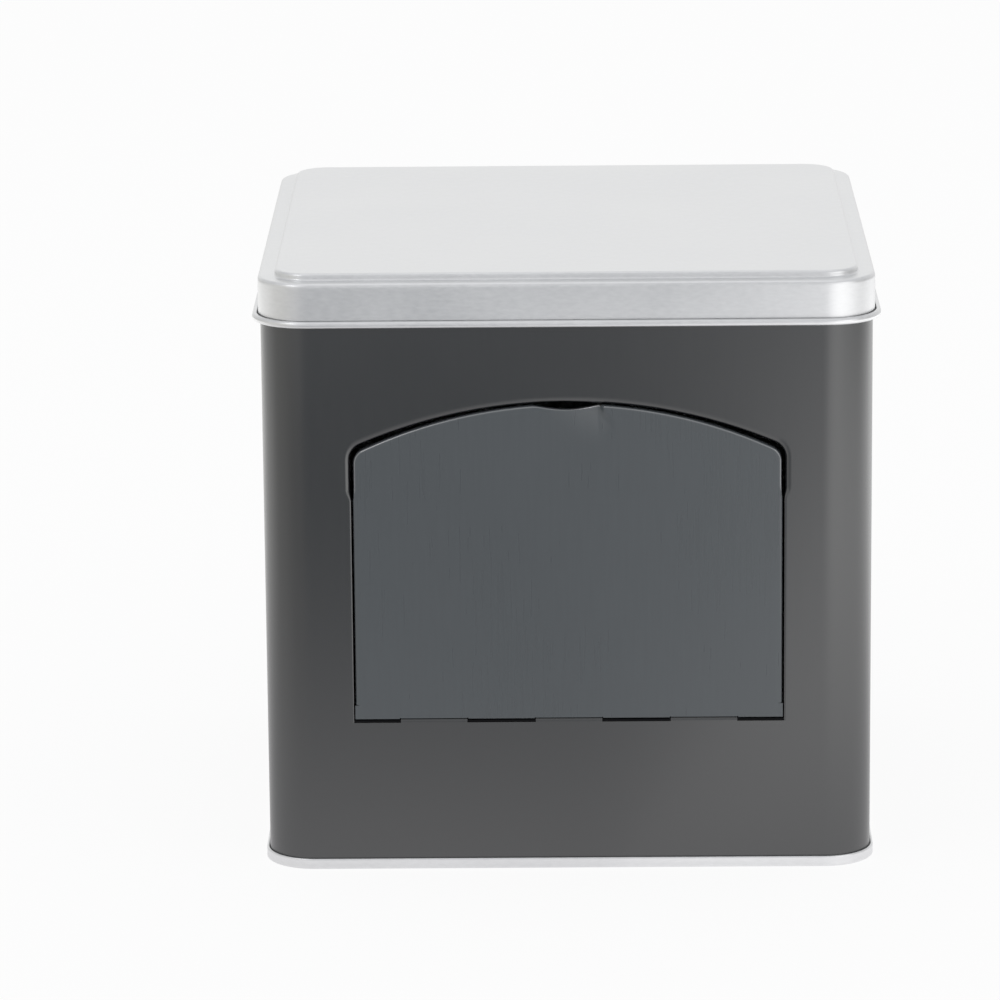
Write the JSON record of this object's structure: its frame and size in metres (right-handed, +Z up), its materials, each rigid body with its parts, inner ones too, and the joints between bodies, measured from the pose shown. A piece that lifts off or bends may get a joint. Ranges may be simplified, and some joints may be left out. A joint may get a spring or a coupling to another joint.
{
  "type": "storage canister",
  "caption": "Square tinplate storage canister with rounded corners, a lift-off lid with a raised panel, and an arched tip-out door in its front for taking the contents out from below.",
  "frame": {"origin": "centre of the base, on the surface that the tin stands on", "axes": "+Z up, the door faces -Y, +X to the right seen from the front"},
  "size_m": [0.1848, 0.1848, 0.18],
  "materials": {
    "dark_lacquer": "satin anthracite lacquer baked on tinplate",
    "bare_tinplate": "bright tinplate with a fine rolled grain, satin",
    "hinge_steel": "drawn steel wire with a black finish"
  },
  "bodies": {
    "tin": {"body_wall": "dark_lacquer", "base_pan": "bare_tinplate", "hinge_wire": "hinge_steel"},
    "door": {"door": "dark_lacquer"},
    "lid": {"lid": "bare_tinplate"}
  },
  "joints": [
    {"name": "door_tip", "type": "hinge", "parent": "tin", "child": "door", "pos_m": [0, -0.0889, 0.0452], "axis": [1, 0, 0], "range_deg": [0, 50]},
    {"name": "lid_lift", "type": "slide", "parent": "tin", "child": "lid", "axis": [0, 0, 1], "range_m": [0, 0.15]}
  ]
}
